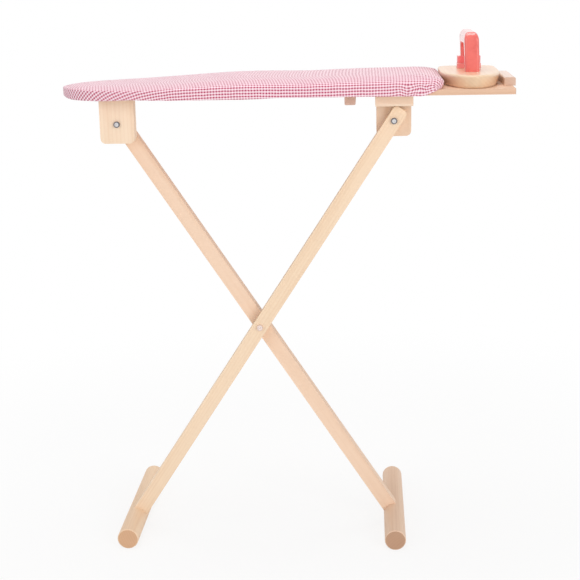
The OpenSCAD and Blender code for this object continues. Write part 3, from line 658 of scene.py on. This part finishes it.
# rings of the padding: inset, share of its height, share of its crown
PAD_ROWS = (
    (-2.0, 0.16, 0), (-2.2, 0.28, 0), (-2.15, 0.40, 0), (-1.75, 0.52, 0), (-1.0, 0.64, 0), (0.3, 0.75, 0),
    (2.4, 0.85, 0), (5.2, 0.92, 0), (8.8, 0.965, 0.1), (13.5, 0.99, 0.3), (20, 1, 0.48), (28, 1, 0.64),
    (38, 1, 0.8), (50, 1, 0.93), (62, 1, 1.0), (70, 1, 1.03), (75, 1, 1.04), (77.6, 1, 1.04),
)
PAD_START, CREST = len(UNDER_INSETS) + len(HEM_ROWS), len(UNDER_INSETS) + len(HEM_ROWS) + 8
N_ROWS = PAD_START + len(PAD_ROWS)
SIDE_INSET, SIDE_SHARE, SIDE_R = 3, [0.1, 0.6], [8.0, HEEL_R]
SAG_TIGHT, SAG_LOOSE, SAG_WAVES, SAG_NOSE, SAG_TIP = 0.35, 1.15, 0.6, 1.7, 1.2
SLIM_TIP, SLIM_TO = 0.3, 45


def ripple(points, scale, seed):
    """Smooth seeded noise at points in millimetres, from about -1 to 1."""
    z = seed * 0.37
    return np.array([noise.noise(Vector((p[0] / scale + seed, p[1] / scale - seed, z))) for p in points])


def cover_rings():
    """Rings from the padding's underside, inside the hem, round its lip, up the side and over the top."""
    x = EDGE[:, 0]
    waves = 0.45 * ripple(EDGE, 16.0, 3.1) + 0.35 * ripple(EDGE, 41.0, 8.4)
    behind_nose = smooth(x, TIP + 2, TIP + 16) * (1 - smooth(x, TIP + 40, TIP + 85))
    sag = SAG_TIGHT + SAG_LOOSE * (1 - smooth(x, TIP + 205, TIP + 250)) + waves * SAG_WAVES
    sag = sag + SAG_NOSE * behind_nose - SAG_TIP * (1 - smooth(x, TIP, TIP + 9))
    slim = SLIM_TIP + (1 - SLIM_TIP) * smooth(x, TIP, TIP + SLIM_TO)
    rings = [np.column_stack([outline(d), np.full(N_RING, DECK_TOP + UNDER_GAP)]) for d in UNDER_INSETS]
    for inset, wavy, z_hem, sag_share, tucked, z_raised in HEM_ROWS:
        d = inset - wavy * waves
        d = np.where(d < 0, d * slim, d)
        d = d + (tucked - d) * TUCK_END
        d = d + (np.interp(z_raised / PAD_HEEL, *END_PROFILE) - d) * HEM_ROUND
        z = DECK_Z + z_hem - sag_share * sag
        z = z + (DECK_TOP + z_raised - z) * RISE_END
        rings.append(np.column_stack([HEM_EDGE - OUTWARD * d[:, None], z]))
    for inset, share, crown in PAD_ROWS:
        p = outline(inset)
        if inset < SIDE_INSET:
            d = inset * slim if inset < 0 else np.full(N_RING, inset)
            d = d + (np.interp(share, *END_PROFILE) - d) * PAD_ROUND
            p = outline(0.0, np.interp(share, SIDE_SHARE, SIDE_R)) - OUTWARD * d[:, None]
        rings.append(np.column_stack([p, DECK_TOP + share * pad_at(p[:, 0]) + crown * PAD_CROWN]))
    return np.array(rings)


# how the cloth is drawn on: stretch round the nose, gathers at the hem near the iron, and the weave's skew
PULL_NOSE, PULL_FROM, PULL_TO = 0.82, 20, 130
GATHER_MM, GATHER_ALONG, GATHER_DOWN, GATHER_TURN = 3.0, (HEEL - 72, HEEL - 36), (9, 17), 1.3
SKEW, SKEW_INSET, SKEW_FADE = 0.24, 42, (20, 110)


def cloth_flat(rings):
    """Where each point lay on the flat cloth: as on top, and unrolled outwards beyond the crest ring."""
    flat = rings[:, :, :2].copy()
    reach, slide = np.zeros(N_RING), np.zeros(N_RING)
    pull = PULL_NOSE + (1 - PULL_NOSE) * smooth(EDGE[:, 0], TIP + PULL_FROM, TIP + PULL_TO)
    base = rings[CREST, :, :2]
    for i in range(CREST - 1, -1, -1):
        step = rings[i] - rings[i + 1]
        shift = np.sum(step[:, :2] * TANGENT, 1)
        slide = slide + shift
        reach = reach + pull * np.sqrt(np.maximum(np.sum(step * step, 1) - shift * shift, 0))
        flat[i] = base + OUTWARD * reach[:, None] + TANGENT * slide[:, None]
        gather = GATHER_MM * smooth(EDGE[:, 0], *GATHER_ALONG) * smooth(reach, *GATHER_DOWN)
        creases = np.column_stack([ripple(flat[i], 8.0, 4.7), GATHER_TURN * ripple(flat[i], 10.0, 6.3)])
        flat[i] += creases * gather[:, None]
    inset = np.clip(HALF - np.abs(flat[:, :, 1]), 0, SKEW_INSET)
    flat[:, :, 0] += SKEW * inset * (1 - smooth(flat[:, :, 0], *SKEW_FADE))
    flat[:, :, 1] = -np.abs(flat[:, :, 1])
    return flat + (0, CHECK / 2)


PUFF_CAP, PUFF_FRAMES = 0.7, 20


def inflate(obj, pins):
    """Blows the padding up as cloth under pressure, with its hem pinned, and keeps the capped result."""
    group = obj.vertex_groups.new(name="pins")
    for i, w in enumerate(pins):
        group.add([i], float(w), "REPLACE")
    mod = obj.modifiers.new("cloth", "CLOTH")
    s = mod.settings
    s.quality, s.mass, s.air_damping = 6, 0.25, 2.0
    s.tension_stiffness = s.compression_stiffness = 18.0
    s.shear_stiffness, s.bending_stiffness = 6.0, 0.6
    s.vertex_group_mass = "pins"
    s.use_pressure, s.uniform_pressure_force = True, 4.0
    s.effector_weights.gravity = 0.0
    mod.collision_settings.use_collision = False
    mod.collision_settings.use_self_collision = False
    mod.point_cache.frame_start, mod.point_cache.frame_end = 1, PUFF_FRAMES
    rest = np.array([v.co for v in obj.data.vertices])
    for f in range(1, PUFF_FRAMES + 1):
        SCENE.frame_set(f)
    deps = bpy.context.evaluated_depsgraph_get()
    moved = np.array([v.co for v in obj.evaluated_get(deps).to_mesh().vertices])
    obj.evaluated_get(deps).to_mesh_clear()
    obj.modifiers.remove(mod)
    obj.vertex_groups.remove(group)
    SCENE.frame_set(1)
    step = moved - rest
    size = np.linalg.norm(step, axis=1, keepdims=True) / MM
    return rest + step * np.minimum(1.0, PUFF_CAP / np.maximum(size, 1e-9))


# counted from the padding's first ring: how firmly rings are pinned, and how far seeded puckers move them
HOLD_ROWS, HOLD = [0, 2, 6], [1.0, 0.6, 0.0]
PUCKER_FROM, PUCKER_ROWS, PUCKER = -2, [-2, 1, 5, 9, 13], [0.1, 0.55, 0.4, 0.2, 0.0]
PUCKER_OUT, PUCKER_UP, DENT_FROM, DENT = 0.5, 0.35, 4, 0.35
LOWEST_BELOW_TOP = 3.0


def make_cover():
    rings = cover_rings()
    flat = cloth_flat(rings)
    bm = loft([[Vector(p) * MM for p in ring] for ring in rings], N_NOSE // 2)
    obj = new_piece("padded_cover", bm, M_CLOTH, "board", ("pad_cushion", "cover_hem"))
    me = obj.data
    count = N_ROWS * N_RING
    hold = np.ones(len(me.vertices))
    for i in range(PAD_START, N_ROWS):
        hold[i * N_RING:(i + 1) * N_RING] = np.interp(i - PAD_START, HOLD_ROWS, HOLD)
    co = inflate(obj, hold)
    grid = co[:count].reshape(N_ROWS, N_RING, 3) / MM
    puff = 0.55 * ripple(EDGE, 22.0, 1.9) + 0.45 * ripple(EDGE, 9.0, 5.2)
    for i in range(PAD_START + PUCKER_FROM, N_ROWS):
        pucker = puff * np.interp(i - PAD_START, PUCKER_ROWS, PUCKER)
        grid[i, :, :2] += OUTWARD * (pucker * PUCKER_OUT)[:, None]
        grid[i, :, 2] += pucker * PUCKER_UP
        if i - PAD_START >= DENT_FROM:
            grid[i, :, 2] += DENT * ripple(grid[i, :, :2], 46.0, 2.6)
    upper = grid[PAD_START - 1:, :, 2]
    np.maximum(upper, DECK_TOP - LOWEST_BELOW_TOP, out=upper)
    co[:count] = grid.reshape(-1, 3) * MM
    me.vertices.foreach_set("co", co.astype(np.float32).ravel())
    uv = np.zeros((len(me.vertices), 2))
    uv[:count] = flat.reshape(-1, 2)
    uv[count] = flat[0, :, 0].mean(), CHECK / 2
    layer = me.uv_layers.new(name="cloth")
    loops = np.zeros(len(me.loops), np.int32)
    me.loops.foreach_get("vertex_index", loops)
    layer.data.foreach_set("uv", (uv[loops] * MM).astype(np.float32).ravel())
    for p in me.polygons:
        p.use_smooth = True
    me.update()
    return grid


cover_grid = make_cover()


# ---- the hem's stitching, on the underside of its lip ----
STITCH_RING, STITCH_LEN, STITCH_STEP, STITCH_R, STITCH_SINK, STITCH_SIDES = 8, 2.7, 4.4, 0.34, 0.12, 6
STITCH_ROWS = ((0.04, 0.55), (0.3, 1.0), (0.7, 1.0), (0.96, 0.55))
UNTUCKED, STITCH_SHARP_DEG = 0.02, 75


def make_stitches():
    """One row of thread along the hem, from the far side round the nose to the near side."""
    order = np.roll(np.arange(N_RING), N_SIDE - 1)
    path = cover_grid[STITCH_RING][order][TUCK_END[order] < UNTUCKED]
    run = np.concatenate([[0], np.cumsum(np.linalg.norm(np.diff(path, axis=0), axis=1))])

    def at(distance):
        return Vector([float(np.interp(distance, run, path[:, k])) for k in range(3)])

    turns = [2 * math.pi / STITCH_SIDES * i for i in range(STITCH_SIDES)]
    bm = bmesh.new()
    for k in range(int(run[-1] / STITCH_STEP)):
        a, b = at(k * STITCH_STEP), at(k * STITCH_STEP + STITCH_LEN)
        along = (b - a).normalized()
        side = along.cross(Vector(ALONG_Z)).normalized()
        up = side.cross(along)
        loops = []
        for share, r in STITCH_ROWS:
            c = a.lerp(b, share) - Vector((0, 0, STITCH_SINK))
            loops.append([bm.verts.new((c + (side * math.cos(q) + up * math.sin(q)) * r * STITCH_R) * MM)
                          for q in turns])
        bridge(bm, loops)
        bm.faces.new(loops[0][::-1])
        bm.faces.new(loops[-1])
    bmesh.ops.recalc_face_normals(bm, faces=bm.faces)
    finish_mesh(new_piece("hem_stitches", bm, M_THREAD, "board"), STITCH_SHARP_DEG)


make_stitches()


# ---- hardware and pins that stay as the CAD has them ----
def use(node, mat):
    materials = NODES[node].data.materials
    materials.clear()
    materials.append(mat)


for name in NODES:
    if name.endswith("bolt"):
        low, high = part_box(name)
        look = DULL_BOLT if name == "cross_bolt" else BRIGHT_BOLT
        use(name, bolt_steel(name + "_steel", (low.x + high.x) / 2, (low.z + high.z) / 2, *look))
    elif "screw" in name or name.endswith(("washer", "nut")):
        use(name, M_STEEL)
    elif name.endswith("dowels") or name == "guide_pegs":
        use(name, M_HIDDEN)


# ---- floor, world and studio light ----
# the floor glows to white by itself away from the part, and shows the part's shadow near it
FLOOR_HALF, FLOOR_GREY, GLOW_NEAR, GLOW_FROM, GLOW_FULL = 60.0, 0.9, 0.84, 0.3, 0.9
WORLD_LIGHT, WORLD_SEEN = 0.55, 1.0
SEEN_RAYS = ("Is Camera Ray", "Is Glossy Ray", "Is Transmission Ray")


def seen_rays(nt):
    """1 for rays that show a surface or the world directly, by reflection or through glass."""
    path = nt.nodes.new("ShaderNodeLightPath")
    seen = path.outputs[SEEN_RAYS[0]]
    for ray in SEEN_RAYS[1:]:
        either = nt.nodes.new("ShaderNodeMath")
        either.operation, either.use_clamp = "ADD", True
        nt.links.new(seen, either.inputs[0])
        nt.links.new(path.outputs[ray], either.inputs[1])
        seen = either.outputs[0]
    return seen


def make_floor():
    bm = bmesh.new()
    bmesh.ops.create_grid(bm, x_segments=8, y_segments=8, size=FLOOR_HALF)
    me = bpy.data.meshes.new("floor")
    bm.to_mesh(me)
    bm.free()
    floor = bpy.data.objects.new("floor", me)
    SCENE.collection.objects.link(floor)
    t = Tree("floor")
    nt = t.nt
    t.set(Base_Color=(FLOOR_GREY, FLOOR_GREY, FLOOR_GREY, 1.0), Roughness=0.9, Specular_IOR_Level=0.0)
    glow = nt.nodes.new("ShaderNodeEmission")
    glow.inputs["Strength"].default_value = 1.0
    away = t.ramp(t.vec("LENGTH", t.node("NewGeometry"), None, 1), GLOW_FROM, GLOW_FULL)
    share = t.math("MULTIPLY", seen_rays(nt), t.math("MULTIPLY_ADD", away, 1 - GLOW_NEAR, GLOW_NEAR))
    both = nt.nodes.new("ShaderNodeMixShader")
    nt.links.new(share, both.inputs[0])
    nt.links.new(t.bsdf.outputs[0], both.inputs[1])
    nt.links.new(glow.outputs[0], both.inputs[2])
    nt.links.new(both.outputs[0], t.out.inputs["Surface"])
    me.materials.append(t.mat)


def make_world():
    world = bpy.data.worlds.new("world")
    SCENE.world = world
    world.use_nodes = True
    nt = world.node_tree
    nt.nodes.clear()
    out = nt.nodes.new("ShaderNodeOutputWorld")
    bg = nt.nodes.new("ShaderNodeBackground")
    bg.inputs["Color"].default_value = (1.0, 1.0, 1.0, 1.0)
    lift = nt.nodes.new("ShaderNodeMath")
    lift.operation = "MULTIPLY_ADD"
    lift.inputs[1].default_value, lift.inputs[2].default_value = WORLD_SEEN - WORLD_LIGHT, WORLD_LIGHT
    nt.links.new(seen_rays(nt), lift.inputs[0])
    nt.links.new(lift.outputs[0], bg.inputs["Strength"])
    nt.links.new(bg.outputs[0], out.inputs["Surface"])


def area_light(name, at, aim, size, watts, tint=(1.0, 1.0, 1.0)):
    data = bpy.data.lights.new(name, "AREA")
    data.shape, data.size, data.energy, data.color = "DISK", size, watts, tint
    obj = bpy.data.objects.new(name, data)
    SCENE.collection.objects.link(obj)
    obj.location = at
    obj.rotation_euler = (Vector(aim) - Vector(at)).to_track_quat("-Z", "Y").to_euler()


make_floor()
make_world()
MIDDLE = (0.0, 0.0, 0.3)
area_light("key", (1.7, -2.3, 1.05), MIDDLE, 1.3, 25.0, (1.0, 0.985, 0.965))
area_light("fill", (-1.8, -2.0, 1.1), MIDDLE, 1.8, 12.0)
area_light("top", (-0.1, 0.2, 2.3), MIDDLE, 1.4, 17.0)
SCENE.view_settings.view_transform = "Standard"
